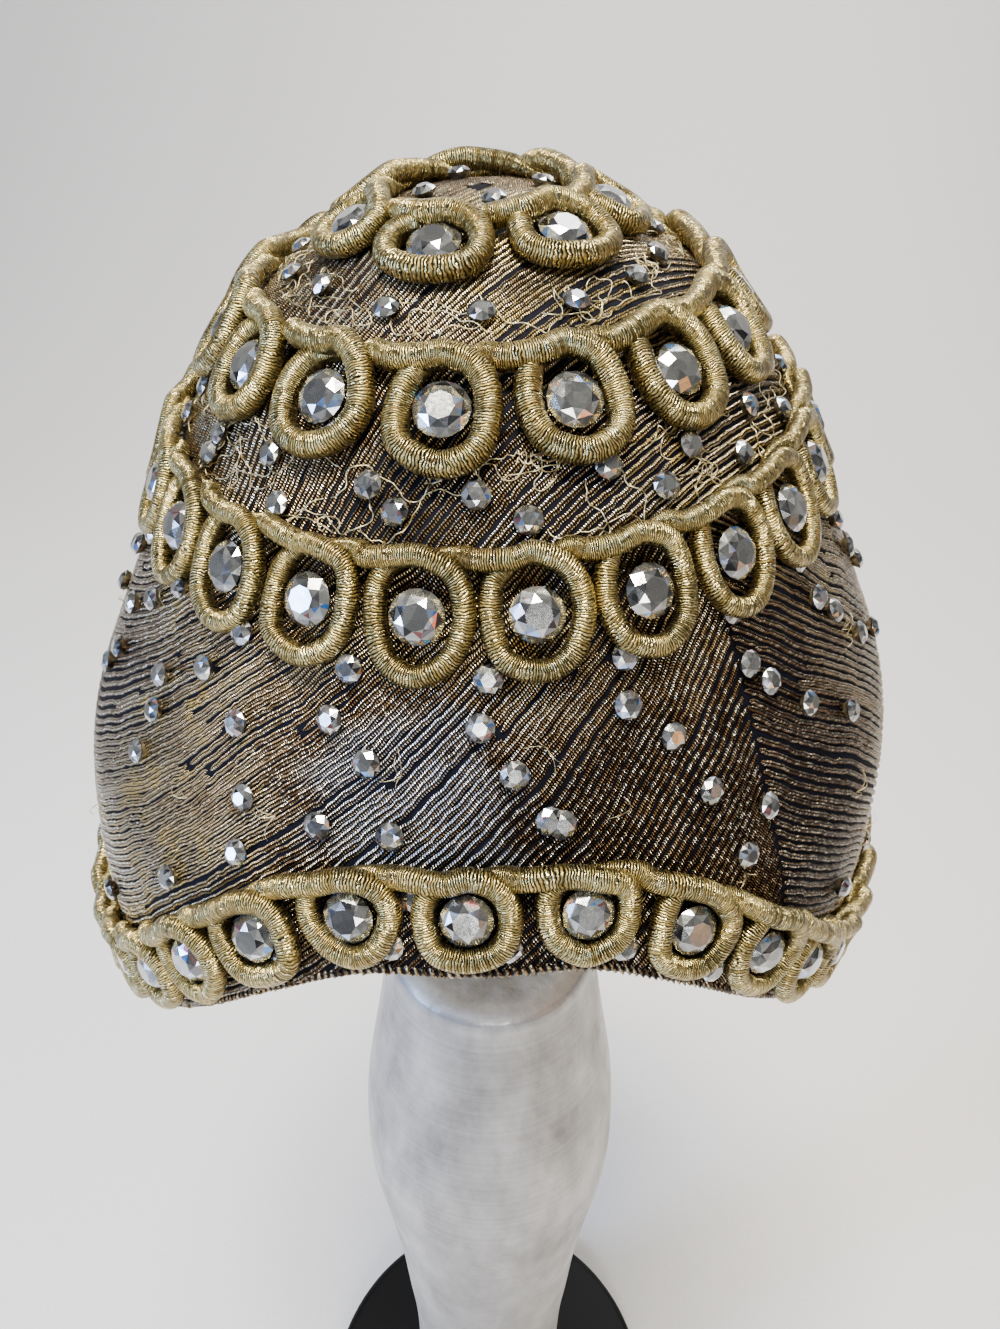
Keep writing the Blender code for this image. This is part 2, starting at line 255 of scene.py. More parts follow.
lame = {
    "ribPitch": 0.00150,
    "ribWidth": 0.00106,
    "strandHeight": 0.00030,
    "grooveHeight": 0.00019,
    "plait": 0.00044,  # length of one plait of a strand
    "crownGrain": 48.0,  # degrees; the crown is one flat piece, so its ribs turn with the angle
    "crownEdge": 0.070,  # where the crown's piece meets the side pieces, under the middle cord
    "sideGrain": {"front": 45.0, "right": -40.0, "back": 40.0},  # degrees above level, going right
    "seams": (36.0, 126.0, -144.0),  # degrees, between the side pieces
    "wander": (  # degrees, waves per metre along and across the ribs
        ((6, 40, 12), (13, 170, 40)),  # side pieces
        ((5, 40, 12), (6, 170, 40)),  # crown
    ),
    "turnBack": (14, 40, 30),  # degrees; how much the ribs level off, from which angle, over how many
    "step": 0.0007,
    "section": 0.0011,  # length of one stretch of a rib's mesh
    "sink": 0.00015,  # how far a rib's edges reach into the cloth
    "swell": 0.13,  # unevenness of its height, and its stray from its line below
    "stray": 0.00008,
    "tip": 0.35,  # share of the width that is left at its ends
    "longest": 400,  # steps
    "shortest": 0.0024,
    "backFrom": 95,  # degrees from the front at which ribs belong to the back
    "crowd": 0.52,  # share of the pitch at which a rib ends against its neighbour
    "squeeze": 0.72,  # share of the pitch at which ribs fill the gaps that are left
    "room": 0.69,  # share of the pitch that a new rib needs beside the others
    # where a painted sheen turns the gilding silver, and where painted shade darkens it: middle, reach
    "paintedSheen": ((-0.012, -0.086, 0.514), (0.023, 0.030, 0.020)),
    "paintedFrontShade": ((0.022, -0.082, 0.486), (0.095, 0.060, 0.050)),
    "seed": 7,
}


def giltPassingThread():
    # fine metal strip plaited over silk in two rows of beads; each bead has its own polish and relief, some
    # get a painted highlight, and painted shade darkens the grooves between them
    material, add, place = newMaterial("gilt_passing_thread", {"Metallic": 1.0})
    uv = add("UVMap", {"uv_map": "UVMap"})
    parts = add("SeparateXYZ", links={"Vector": uv})
    along, across = parts.outputs["X"], parts.outputs["Y"]
    # one bead for each plait, rounded along and across its strand
    sideCrest, strand = turnsOf(add, across, 0.5)
    slant = add("Math", {"operation": "MULTIPLY_ADD", 1: 0.7 * lame["plait"]}, {0: across, 2: along})
    crest, whole = turnsOf(add, slant, lame["plait"])
    bead = add("Math", {"operation": "MULTIPLY"}, {0: crest, 1: sideCrest})
    each = add("Math", {"operation": "MULTIPLY_ADD", 1: 0.37}, {0: strand, 2: whole})
    glint = add("TexWhiteNoise", {"noise_dimensions": "1D"}, {"W": each})
    # gilding and tarnish: patches a few centimetres wide, and finer ones a few ribs wide
    wide = add("TexNoise", {"Scale": noiseScale(48), "Detail": 2.0}, {"Vector": place})
    narrow = add("TexNoise", {"Scale": noiseScale(6), "Detail": 2.0, "Roughness": 0.6}, {"Vector": place})
    patch = add("Mix", {"data_type": "FLOAT", 0: 0.40}, {2: wide, 3: narrow})
    paintedFrontShade, paintedSheenBand = [add("TexGradient", {"gradient_type": "SPHERICAL"}, {"Vector": add("Mapping", {
        "Location": [-m / r for m, r in zip(middle, reach)], "Scale": [1 / r for r in reach]},
        {"Vector": place})}) for middle, reach in (lame["paintedFrontShade"], lame["paintedSheen"])]
    # painted shade: the gilding darkens towards brown inside the sphere on the front band, over the random
    # patches
    patchesAndPaintedShade = add("Math", {"operation": "MULTIPLY_ADD", 1: -0.26}, {0: paintedFrontShade, 2: patch})
    gilding = add("ValToRGB", {"stops": [
        (0.30, "#5b4631"), (0.38, "#7d6344"), (0.46, "#b0946a"), (0.53, "#d8c296"),
        (0.60, "#eecb74")]}, {"Fac": patchesAndPaintedShade})
    # painted sheen: a silvery band over the front, standing in for the light's reflection along the ribs
    paintedSheenPatches = add("Math", {"operation": "MULTIPLY_ADD", 1: 1.0}, {0: paintedSheenBand, 2: narrow})
    paintedSheenMask = add("ValToRGB", {"stops": [(0.68, 0.0), (1.15, 0.80)]}, {"Fac": paintedSheenPatches})
    paintedSheen = add("Mix", {"data_type": "RGBA", 7: tone("#aeb2ba")}, {0: paintedSheenMask, 6: gilding})
    # painted highlight: beads picked at random are mixed towards a near-white glint colour
    paintedGlintMask = add("ValToRGB", {"stops": [(0.50, 0.0), (1.0, 0.80)]}, {"Fac": glint})
    withPaintedHighlight = add("Mix", {"data_type": "RGBA", 7: tone("#fff3d6")}, {0: paintedGlintMask, 6: paintedSheen})
    # painted shade: the colour goes nearly black in the grooves between the beads
    paintedGrooveShade = add("ValToRGB", {"stops": [(0.36, 0.02), (0.80, 1.0)]}, {"Fac": bead})
    colour = add("Mix", {"data_type": "RGBA", "blend_type": "MULTIPLY", 0: 1.0}, {6: withPaintedHighlight, 7: paintedGrooveShade})
    polish = add("MapRange", {"To Min": 0.36, "To Max": 0.20}, {"Value": glint})
    height = add("Math", {"operation": "MULTIPLY_ADD", 1: 0.30}, {0: glint, 2: bead})
    return finishShader(material, colour, polish, height, 1.0, 0.00018)


def pieceOf(angle, arc):  # which piece of cloth a place on the cap belongs to
    if arc < lame["crownEdge"]:
        return "crown"
    front, right, back = lame["seams"]
    degrees = math.degrees(angle)
    return "front" if back < degrees < front else "right" if front <= degrees < right else "back"


def grainAt(angle, arc, point):  # the ribs' direction there, along the cap's surface
    byAngle, byArc, normal = capSlopes(angle, arc)
    level, down = unit(byAngle), unit(byArc)
    piece = pieceOf(angle, arc)
    if piece == "crown":
        slope = lame["crownGrain"] - math.degrees(angle)
        lie, x, y = math.radians(lame["crownGrain"]), point[0], point[1]
    else:
        slope = lie = lame["sideGrain"][piece]
        if slope > 0:
            most, start, over = lame["turnBack"]
            slope -= most * min(1, max(0, (-math.degrees(angle) - start) / over))
        lie, x, y = math.radians(lie), angle * capShape["halfWidth"], -arc
    # neighbouring ribs wander together, so the wandering changes fast along them and slowly across
    along, across = x * math.cos(lie) + y * math.sin(lie), y * math.cos(lie) - x * math.sin(lie)
    sway = sum(size * noise.noise(Vector((along * fast, across * slow, fast)))
               for size, fast, slow in lame["wander"][piece == "crown"])
    turn = math.radians(slope + sway)
    return unit(math.cos(turn) * level - math.sin(turn) * down), normal


class RibFinder:
    # lays ribs side by side along the grain, each ending where it would crowd its neighbour
    def __init__(self):
        self.cells = {}
        self.pitch = lame["ribPitch"]

    def cellOf(self, point):
        return tuple(int(math.floor(c / self.pitch)) for c in point)

    def add(self, points, home):
        for point in points:
            self.cells.setdefault((home, *self.cellOf(point)), []).append(point)

    def isFree(self, point, home, gap):
        i, j, k = self.cellOf(point)
        for a in (i - 1, i, i + 1):
            for b in (j - 1, j, j + 1):
                for c in (k - 1, k, k + 1):
                    for other in self.cells.get((home, a, b, c), ()):
                        if ((other[0] - point[0])**2 + (other[1] - point[1])**2
                                + (other[2] - point[2])**2) < gap * gap:
                            return False
        return True

    def run(self, start, sense):
        angle, arc = angleArcOf(start)
        home = pieceOf(angle, arc)
        point, places = np.array(start), []
        while len(places) < lame["longest"]:
            grain, _ = grainAt(angle, arc, point)
            point = point + sense * lame["step"] * grain
            angle, arc = angleArcOf(point)
            point = uprightPoint(angle, arc)
            if pieceOf(angle, arc) != home or arc < 0.002 or arc > rimArc(angle) - 0.0002:
                break
            if not self.isFree(point, home, lame["crowd"] * self.pitch):
                break
            places.append((angle, arc, *point))
        return places

    def besides(self, rib, spread):  # places for the next ribs, a share of the pitch off to either side
        found = []
        for k in range(0, len(rib), 3):
            grain, normal = grainAt(rib[k][0], rib[k][1], rib[k][2:])
            side = np.cross(grain, normal)
            for sense in (1, -1):
                beside = angleArcOf(rib[k][2:] + sense * spread * self.pitch * side)
                if 0.002 < beside[1] < rimArc(beside[0]) - 0.0006:
                    found.append(uprightPoint(*beside))
        return found

    def findAll(self, starts):
        ribs, waiting = [], [np.array(s) for s in starts]
        for spread in (1.0, lame["squeeze"]):
            waiting += [place for rib in ribs for place in self.besides(rib, spread)]
            while waiting:
                start = waiting.pop(0)
                angle, arc = angleArcOf(start)
                home = pieceOf(angle, arc)
                if not self.isFree(start, home, lame["room"] * self.pitch):
                    continue
                forward, backward = self.run(start, 1), self.run(start, -1)
                rib = np.array(backward[::-1] + [(angle, arc, *start)] + forward)
                if len(rib) * lame["step"] < lame["shortest"]:
                    continue
                ribs.append(rib)
                self.add([tuple(r[2:]) for r in rib], home)
                waiting += self.besides(rib, spread)
        return ribs


def makeLameRibs():
    material = giltPassingThread()
    finder = RibFinder()
    starts = [uprightPoint(math.radians(a), s) for a, s in
              ((0, 0.045), (-60, 0.100), (80, 0.110), (180, 0.110), (35, 0.090), (37, 0.090), (0, 0.072))]
    ribs = finder.findAll(starts)
    rng = np.random.default_rng(lame["seed"])
    meshes = {name: bmesh.new() for name in ("crownRibs", "frontRibs", "backRibs")}
    # across a rib: down into the cloth, over one strand, into the groove, over the other, and down
    across = np.array([-0.50, -0.26, 0.0, 0.26, 0.50]) * lame["ribWidth"]
    strand, sink = lame["strandHeight"], lame["sink"]
    heights = np.array([-sink, strand, lame["grooveHeight"], strand, -sink])
    for number, rib in enumerate(ribs):
        sections = max(2, round(len(rib) * lame["step"] / lame["section"]))
        at = np.linspace(0, len(rib) - 1, sections + 1)
        middle = np.stack([np.interp(at, np.arange(len(rib)), rib[:, k]) for k in (2, 3, 4)], -1)
        angles = np.interp(at, np.arange(len(rib)), np.unwrap(rib[:, 0]))
        arcs = np.interp(at, np.arange(len(rib)), rib[:, 1])
        normals = capSlopes(angles, arcs)[2]
        along = unit(np.gradient(middle, axis=0))
        sides = unit(np.cross(along, normals))
        swell = 1 + lame["swell"] * rng.standard_normal(sections + 1)
        taper = np.ones(sections + 1)
        taper[[0, -1]] = lame["tip"]
        shift = lame["stray"] * rng.standard_normal(sections + 1)

        def place(u, v):
            k = np.rint(u * sections).astype(int)
            j = np.rint(v * 4).astype(int)
            offset = across[j] * taper[k] + shift[k]
            lift = np.where(heights[j] > 0, heights[j] * swell[k] * (0.4 + 0.6 * taper[k]), heights[j])
            return placed(middle[k] + offset[:, None] * sides[k] + lift[:, None] * normals[k])

        crown = rib[0, 1] < lame["crownEdge"]
        degrees = math.degrees(math.atan2(math.sin(rib[0, 0]), math.cos(rib[0, 0])))
        back = abs(degrees) > lame["backFrom"]
        bm = meshes["crownRibs" if crown else "backRibs" if back else "frontRibs"]
        layGrid(bm, sections, 4, place, (len(rib) * lame["step"], 1), (number * 0.37 % 5, 0))
    for name, bm in meshes.items():
        print(name, len(bm.faces), "faces")
        newPiece(name, meshOf(bm, name), material, [], "lame_cloth")
    print("lame ribs:", len(ribs))


def blackSilk(name, hue, gap):
    # plain-weave silk ground: matt and nearly black, with a faint blue bloom
    material, add, place = newMaterial(name, {"Specular IOR Level": 0.08})
    yarns = add("TexChecker", {"Scale": noiseScale(gap)}, {"Vector": place})
    mottle = add("TexNoise", {"Scale": noiseScale(4), "Detail": 3.0}, {"Vector": place})
    shade = add("ValToRGB", {"stops": [(0.3, "#020206"), (0.7, hue)]}, {"Fac": mottle})
    polish = add("MapRange", {"To Min": 0.6, "To Max": 0.8}, {"Value": mottle})
    height = add("Mix", {"data_type": "FLOAT", 0: 0.5}, {2: yarns.outputs["Fac"], 3: mottle})
    return finishShader(material, shade, polish, height, 0.5, 0.0001)


def makeCapShell():
    shell = {"columns": 144, "rows": 60, "sink": 0.00012}
    bm = bmesh.new()
    layGrid(bm, shell["columns"], shell["rows"], lambda u, v: onCap(
        u * 2 * math.pi, v * rimArc(u * 2 * math.pi), -shell["sink"] + 0 * u))
    closeUp(bm)
    piece = newPiece("capShell", meshOf(bm, "capShell"), blackSilk("black_silk_ground", "#080a16", 0.3),
                     ["cap"], "lame_cloth")
    piece.data.materials.append(blackSilk("brown_silk_lining", "#4a3426", 0.5))
    wall = piece.modifiers.new("wall", "SOLIDIFY")
    wall.thickness = capShape["wall"] - shell["sink"]
    wall.offset = -1
    wall.material_offset = 1
    print("cap shell")


hem = {
    "radius": 0.00090,
    "ridge": 0.00022,  # how far the wrapped ribs stand out
    "pitch": 0.00125,
    "swell": (0.3, 1.7),  # of one ridge
    "inset": 0.45,  # of its middle under the cap's outside, share of the wall
    "sides": 10,
    "seed": 5,
}


def hemThread():
    # the lame turned over the edge: its ribs cross the roll and catch light on their bends, with a painted
    # highlight on some ridges
    material, add, place = newMaterial("gilt_thread_rolled_hem", {"Metallic": 0.9})
    uv = add("UVMap", {"uv_map": "UVMap"})
    parts = add("SeparateXYZ", links={"Vector": uv})
    lean = add("Math", {"operation": "MULTIPLY_ADD", 1: 2 * hem["pitch"]},
                   {0: parts.outputs["Y"], 2: parts.outputs["X"]})
    count = add("Math", {"operation": "DIVIDE", 1: hem["pitch"]}, {0: lean})
    wave = add("Math", {"operation": "MULTIPLY", 1: 2 * math.pi}, {0: count})
    ridge = add("Math", {"operation": "SINE"}, {0: wave})
    whole = add("Math", {"operation": "FLOOR"}, {0: count})
    glint = add("TexWhiteNoise", {"noise_dimensions": "1D"}, {"W": whole})
    fine = add("TexNoise", {"Scale": noiseScale(0.5), "Detail": 2.0}, {"Vector": place})
    patch = add("TexNoise", {"Scale": noiseScale(6), "Detail": 2.0}, {"Vector": place})
    gilding = add("ValToRGB", {"stops": [
        (0.36, "#4c3c29"), (0.5, "#86704e"), (0.64, "#bfa678")]}, {"Fac": patch})
    # painted highlight: ridges picked at random are mixed towards a pale glint colour
    paintedGlintMask = add("ValToRGB", {"stops": [(0.55, 0.0), (1.0, 0.8)]}, {"Fac": glint})
    withPaintedHighlight = add("Mix", {"data_type": "RGBA", 7: tone("#f7e6c0")}, {0: paintedGlintMask, 6: gilding})
    sparkle = add("ValToRGB", {"stops": [(0.40, 0.08), (0.58, 1.0)]}, {"Fac": fine})
    thread = add("Mix", {"data_type": "RGBA", "blend_type": "MULTIPLY", 0: 1.0}, {6: withPaintedHighlight, 7: sparkle})
    gap = add("ValToRGB", {"stops": [(0.30, 0.0), (0.60, 1.0)]}, {
        "Fac": add("MapRange", {"From Min": -1.0}, {"Value": ridge})})
    colour = add("Mix", {"data_type": "RGBA", 6: tone("#171316")}, {0: gap, 7: thread})
    polish = add("MapRange", {"To Min": 0.25, "To Max": 0.5}, {"Value": fine})
    height = add("Math", {"operation": "MULTIPLY_ADD", 1: 0.8}, {0: fine, 2: ridge})
    return finishShader(material, colour, polish, height, 0.7, 0.00015)


def makeHem():
    rim = rimGuide()
    ridges = round(rim.length / hem["pitch"])
    swell = np.random.default_rng(hem["seed"]).uniform(*hem["swell"], ridges + 1)

    def place(u, v):
        angle, arc = rim.at(u * rim.length)
        _, down, normal = (unit(d) for d in capSlopes(angle, arc))
        turn = 2 * math.pi * v
        ridge = hem["ridge"] * swell[(u * ridges).astype(int)]
        radius = hem["radius"] + ridge * np.sin(2 * math.pi * (u * ridges + 2 * v))
        middle = uprightPoint(angle, arc) - hem["inset"] * capShape["wall"] * normal
        spoke = np.cos(turn)[:, None] * down + np.sin(turn)[:, None] * normal
        return placed(middle + radius[:, None] * spoke)

    bm = bmesh.new()
    layGrid(bm, 6 * ridges, hem["sides"], place, (rim.length, 1))
    closeUp(bm)
    newPiece("rolledHem", meshOf(bm, "rolledHem"), hemThread(), [], "lame_cloth")
    print("rolled hem")


class Guide:  # a line round the cap, through its angles and arcs, measured by its length
    def __init__(self, angles, arcs):
        self.angles, self.arcs = angles, arcs
        steps = np.linalg.norm(np.diff(uprightPoint(self.angles, self.arcs), axis=0), axis=1)
        self.runs = np.concatenate([[0], np.cumsum(steps)])
        self.length = self.runs[-1]

    def at(self, run):
        turns, rest = np.divmod(run, self.length)
        return (np.interp(rest, self.runs, self.angles) + turns * 2 * math.pi,
                np.interp(rest, self.runs, self.arcs))

    def beside(self, run, down):  # the angle and arc of a point square to the line
        angle, arc = self.at(run)
        byAngle, byArc, normal = capSlopes(angle, arc)
        along = uprightPoint(*self.at(run + 0.002)) - uprightPoint(*self.at(run - 0.002))
        square = unit(np.cross(along, normal)) * np.asarray(down)[..., None]
        ways = np.stack([byAngle, byArc], -2)
        moved = np.linalg.solve(ways @ np.swapaxes(ways, -1, -2), ways @ square[..., None])[..., 0]
        return angle + moved[..., 0], arc + moved[..., 1]


def levelGuide(arc):
    around = np.radians(np.arange(-180, 181, 1.0))
    return Guide(around, arc + 0 * around)


def rimGuide(above=0.0):  # along the rim's edge, or square above it
    around = np.radians(np.arange(-180, 181, 1.0))
    edge = Guide(around, rimArc(around))
    return Guide(*edge.beside(edge.runs, -above + 0 * edge.runs))


# couched cord: loops in four rings round the cap, each with a stone in its middle

cord = {
    "gap": 0.0004,  # under the cord, over the lame
    "thread": 0.00036,  # pitch of the gilt thread wound on it
    "sides": 14,
    "steps": 6,  # sections for each row of the loop's path
    "handwork": 0.00022,  # how far a loop strays from its pattern
    "path": (  # across (share of half width), down (share of height), lift (cord widths), thickness
        (-0.55, 0.02, 0.30, 1.00),
        (0.15, 0.00, 0.38, 1.00),
        (0.80, 0.17, 0.24, 1.00),
        (1.00, 0.50, 0.06, 1.00),
        (0.72, 0.87, 0.00, 1.00),
        (0.00, 1.02, 0.00, 1.00),
        (-0.72, 0.87, 0.00, 1.00),
        (-1.00, 0.50, 0.00, 1.00),
        (-0.84, 0.17, 0.00, 0.96),
        (-0.35, 0.03, 0.00, 0.52),
        (0.35, -0.03, 0.00, 0.50),
        (0.95, -0.03, 0.04, 0.92),
        (None, 0.02, 0.12, 1.00),  # half way to the next loop
    ),
    "rings": {  # angle: of one loop; bunch: how much closer the loops lie at the front than on average
        "crown": {"loops": 7, "drop": 0.0225, "half": 0.0076, "tall": 0.0112, "angle": -17, "bunch": 0.0,
                  "stone": 0.0044, "width": 0.0042},
        "upper": {"loops": 14, "drop": 0.0500, "half": 0.0066, "tall": 0.0148, "angle": -7, "bunch": 0.15,
                  "stone": 0.0043, "width": 0.0042},
        "middle": {"loops": 22, "drop": 0.0775, "half": 0.0064, "tall": 0.0160, "angle": -9, "bunch": 0.12,
                   "stone": 0.0041, "width": 0.0035},
        "rim": {"loops": 36, "drop": 0.0092, "half": 0.0061, "tall": 0.0120, "angle": -1, "bunch": 0.0,
                "stone": 0.0040, "width": 0.0038},
    },
}


def ringLine(name):  # the line through the loops' middles, and each loop's place along it
    ring = cord["rings"][name]
    guide = rimGuide(ring["drop"]) if name == "rim" else levelGuide(ring["drop"])
    front, first = np.interp([0.0, math.radians(ring["angle"])], guide.angles, guide.runs)
    shares = (first - front) / guide.length + np.arange(ring["loops"]) / ring["loops"]
    bunched = ring["bunch"] * np.sin(2 * math.pi * shares) / (2 * math.pi)
    return guide, front + (shares - bunched) * guide.length


def coreWoundCord():
    # fine gilt thread wound by hand on a soft cotton core: uneven dull-gold ridges, painted shade between
    # them, and a painted highlight on some turns
    material, add, place = newMaterial("gilt_thread_wound_cord", {"Metallic": 1.0})
    uv = add("UVMap", {"uv_map": "UVMap"})
    sway = add("TexNoise", {"Scale": noiseScale(1.9), "Detail": 2.0, "Roughness": 0.6}, {"Vector": place})
    parts = add("SeparateXYZ", links={"Vector": uv})
    # one thread for each turn: it climbs by its own pitch round the cord, and wanders a little
    helix = add("Math", {"operation": "MULTIPLY_ADD", 1: cord["thread"]},
                    {0: parts.outputs["Y"], 2: parts.outputs["X"]})
    wander = add("Math", {"operation": "MULTIPLY_ADD", 1: 2.4 * cord["thread"]}, {0: sway, 2: helix})
    crest, whole = turnsOf(add, wander, cord["thread"])
    glint = add("TexWhiteNoise", {"noise_dimensions": "1D"}, {"W": whole})
    patch = add("TexNoise", {"Scale": noiseScale(9), "Detail": 3.0}, {"Vector": place})
    speck = add("TexNoise", {"Scale": noiseScale(0.55), "Detail": 2.0, "Roughness": 0.7}, {"Vector": place})
    gilding = add("ValToRGB", {"stops": [
        (0.36, "#6a5a30"), (0.5, "#a48d4e"), (0.64, "#ccb46c")]}, {"Fac": patch})
    # painted highlight: turns picked at random are mixed towards a pale gold glint colour
    paintedGlintAmount = add("Math", {"operation": "MULTIPLY", 1: 0.72}, {0: glint})
    withPaintedHighlight = add("Mix", {"data_type": "RGBA", 7: tone("#ffeda6")}, {0: paintedGlintAmount, 6: gilding})
    dull = add("ValToRGB", {"stops": [(0.36, 0.40), (0.48, 0.85), (0.58, 1.0)]}, {"Fac": speck})
    dulled = add("Mix", {"data_type": "RGBA", "blend_type": "MULTIPLY", 0: 1.0}, {6: withPaintedHighlight, 7: dull})
    # painted shade: the colour goes nearly black in the grooves between the turns
    paintedGrooveShade = add("ValToRGB", {"stops": [(0.18, 0.03), (0.80, 1.0)]}, {"Fac": crest})
    colour = add("Mix", {"data_type": "RGBA", "blend_type": "MULTIPLY", 0: 1.0}, {6: dulled, 7: paintedGrooveShade})
    polish = add("MapRange", {"To Min": 0.42, "To Max": 0.18}, {"Value": glint})
    uneven = add("Math", {"operation": "MULTIPLY_ADD", 1: 0.45}, {0: glint, 2: crest})
    height = add("Math", {"operation": "MULTIPLY_ADD", 1: 0.60}, {0: speck, 2: uneven})
    return finishShader(material, colour, polish, height, 1.0, 0.00016)


def makeCords():
    material = coreWoundCord()
    for number, (name, ring) in enumerate(cord["rings"].items()):
        guide, places = ringLine(name)
        rng = np.random.default_rng(20 + number)
        rows = []
        for spot, after in zip(places, np.append(places[1:], places[0] + guide.length)):
            stray = cord["handwork"] * rng.standard_normal((len(cord["path"]), 2))
            for (across, down, lift, thick), (aside, below) in zip(cord["path"], stray):
                run = spot + ((after - spot) / 2 if across is None else across * ring["half"]) + aside
                rows.append((run, (down - 0.5) * ring["tall"] + below, lift, thick))
        rows = np.array(rows)
        turn = (guide.length, 0, 0, 0)
        closed = np.vstack([rows[-1:] - turn, rows, rows[:2] + turn])
        line = smoothLine(closed, cord["steps"])[cord["steps"]:-cord["steps"]]
        angle, arc = guide.beside(line[:, 0], line[:, 1])
        normal = capSlopes(angle, arc)[2]
        radius = ring["width"] / 2 * line[:, 3]
        lift = cord["gap"] + line[:, 2] * ring["width"] + 0.92 * radius
        middle = uprightPoint(angle, arc) + lift[:, None] * normal
        ahead = np.roll(middle[:-1], -1, axis=0) - np.roll(middle[:-1], 1, axis=0)
        along = unit(np.vstack([ahead, ahead[:1]]))
        side = unit(np.cross(along, normal))
        up = np.cross(side, along)
        runs = np.concatenate([[0], np.cumsum(np.linalg.norm(np.diff(middle, axis=0), axis=1))])
        count = len(middle) - 1

        def place(u, v):
            k = np.rint(u * count).astype(int) % count
            turned = 2 * math.pi * v - math.pi / 2
            return placed(middle[k] + radius[k][:, None] * (np.cos(turned)[:, None] * side[k]
                                                            + np.sin(turned)[:, None] * up[k]))

        bm = bmesh.new()
        layGrid(bm, count, cord["sides"], place, (runs[-1], 1))
        closeUp(bm)
        newPiece(name + "Cord", meshOf(bm, name + "Cord"), material, [name + "_scroll"], "gilt_cord")
        print(name, "cord", len(middle), "sections,", round(runs[-1], 3), "m")


# cut stones: foil-backed glass, a facet at a time

stone = {
    "table": 0.50,  # share of the radius
    "star": 0.78,  # where the star facets' tips lie
    "girdle": 0.0021,  # height above the cap
    "edge": 0.0002,
    "top": 0.0037,
    "culet": 0.0001,
    "culetFlat": 0.30,  # its flat back, share of the radius
}


def brilliant(bm, radius, sides, matrix, heights, rng):
    # the corners of a round cut, with its facets stretched over them; each facet has its own tone, a
    # painted reflection, and the girdle faces get painted shade
    paintedToneLayer = bm.faces.layers.float.get("facet") or bm.faces.layers.float.new("facet")
    girdle, edge, top, culet = heights
    rings = ((stone["table"], top, 0.0, sides), (stone["star"], girdle + 0.62 * (top - girdle), 0.5, sides),
             (1.0, girdle, 0.0, 2 * sides), (1.0, girdle - edge, 0.0, 2 * sides),
             (stone["culetFlat"], culet, 0.5, sides))
    corners = []
    for share, height, shift, count in rings:
        spun = Matrix.Rotation(shift * 2 * math.pi / sides, 4, "Z") @ Matrix.Translation((0, 0, height))
        corners += bmesh.ops.create_circle(bm, segments=count, radius=radius * share,
                                           matrix=matrix @ spun)["verts"]
    hull = bmesh.ops.convex_hull(bm, input=corners)
    faces = [f for f in hull["geom"] if isinstance(f, bmesh.types.BMFace)]
    out = matrix.to_3x3() @ Vector((0, 0, 1))
    paintedFacetTones = {}
    for face in faces:
        face.normal_update()
        facing = face.normal.dot(out)
        key = tuple(round(c, 2) for c in face.normal)
        # each facet's tone is a painted reflection; faces turned sideways, the girdle, get 0, painted shade
        share = rng.uniform(0.3, 0.75) if facing > 0.98 else 0.0 if facing < 0.2 else rng.random()
        face[paintedToneLayer] = paintedFacetTones.setdefault(key, share)


def seat(guide, run, down, lift):  # stands a piece on the cap, facing outwards
    angle, arc = guide.beside(run, down)
    byAngle, _, normal = capSlopes(angle, arc)
    z = Vector(leaned(normal)).normalized()
    y = z.cross(Vector(leaned(byAngle))).normalized()
    turn = Matrix((y.cross(z), y, z)).transposed().to_4x4()
    return Matrix.Translation(Vector(onCap(angle, arc, lift))) @ turn


def foiledGlass():
    # lead glass over tin-silver foil, a little dusty: each facet's grey is a painted reflection, with
    # painted reflections, in fragments, of the facets behind it, a painted flash of blue, rose or gold on a
    # few, and painted shade on the girdle
    material, add, place = newMaterial("foiled_lead_glass", {
        "Metallic": 0.9, "Coat Weight": 1.0, "Coat Roughness": 0.03, "Coat IOR": 1.58})
    facet = add("Attribute", {"attribute_name": "facet"}).outputs["Fac"]
    brokenPaintedReflections = add("TexVoronoi", {"Scale": noiseScale(1.7)}, {"Vector": place}).outputs["Color"]
    paintedReflectionFactor = add("Mix", {"data_type": "FLOAT", 0: 0.26}, {2: facet, 3: brokenPaintedReflections})
    # painted reflections: near-black for the painted shade on the girdle, greys and whites, and a few
    # painted flashes of colour
    colour = add("ValToRGB", {"stops": [
        (0.0, "#141416"), (0.14, "#3d3e42"), (0.26, "#6c6d70"), (0.45, "#939592"),
        (0.66, "#bbbcb8"), (0.77, "#eceded"), (0.80, "#3f93f0"), (0.83, "#c3ddf2"),
        (0.87, "#a0595b"), (0.91, "#d9c2ba")]}, {"Fac": paintedReflectionFactor})
    dust = add("TexNoise", {"Scale": noiseScale(0.6), "Detail": 2.0}, {"Vector": place})
    polish = add("MapRange", {"To Min": 0.10, "To Max": 0.26}, {"Value": dust})
    return finishShader(material, colour, polish, dust, 0.06, 0.0001)


def makeStones(glass):
    for name, ring in cord["rings"].items():
        guide, places = ringLine(name)
        rng = random.Random(name)
        bm = bmesh.new()
        for spot in places:
            spun = Matrix.Rotation(rng.uniform(0, math.pi / 4), 4, "Z")
            tilt = Matrix.Rotation(math.radians(rng.uniform(-4, 4)), 4, rng.choice("XY"))
            brilliant(bm, ring["stone"], 8, seat(guide, spot, 0.0, cord["gap"]) @ tilt @ spun,
                      [stone[key] for key in ("girdle", "edge", "top", "culet")], rng)
        nodes = [] if name == "rim" else [f"{name}_stone_{k + 1}" for k in range(ring["loops"])]
        newPiece(name + "Stones", meshOf(bm, name + "Stones", smooth=False), glass, nodes, "cut_glass")
    print("stones in the loops")


# small stones scattered over the lame in rough rows, each in a shallow metal cup

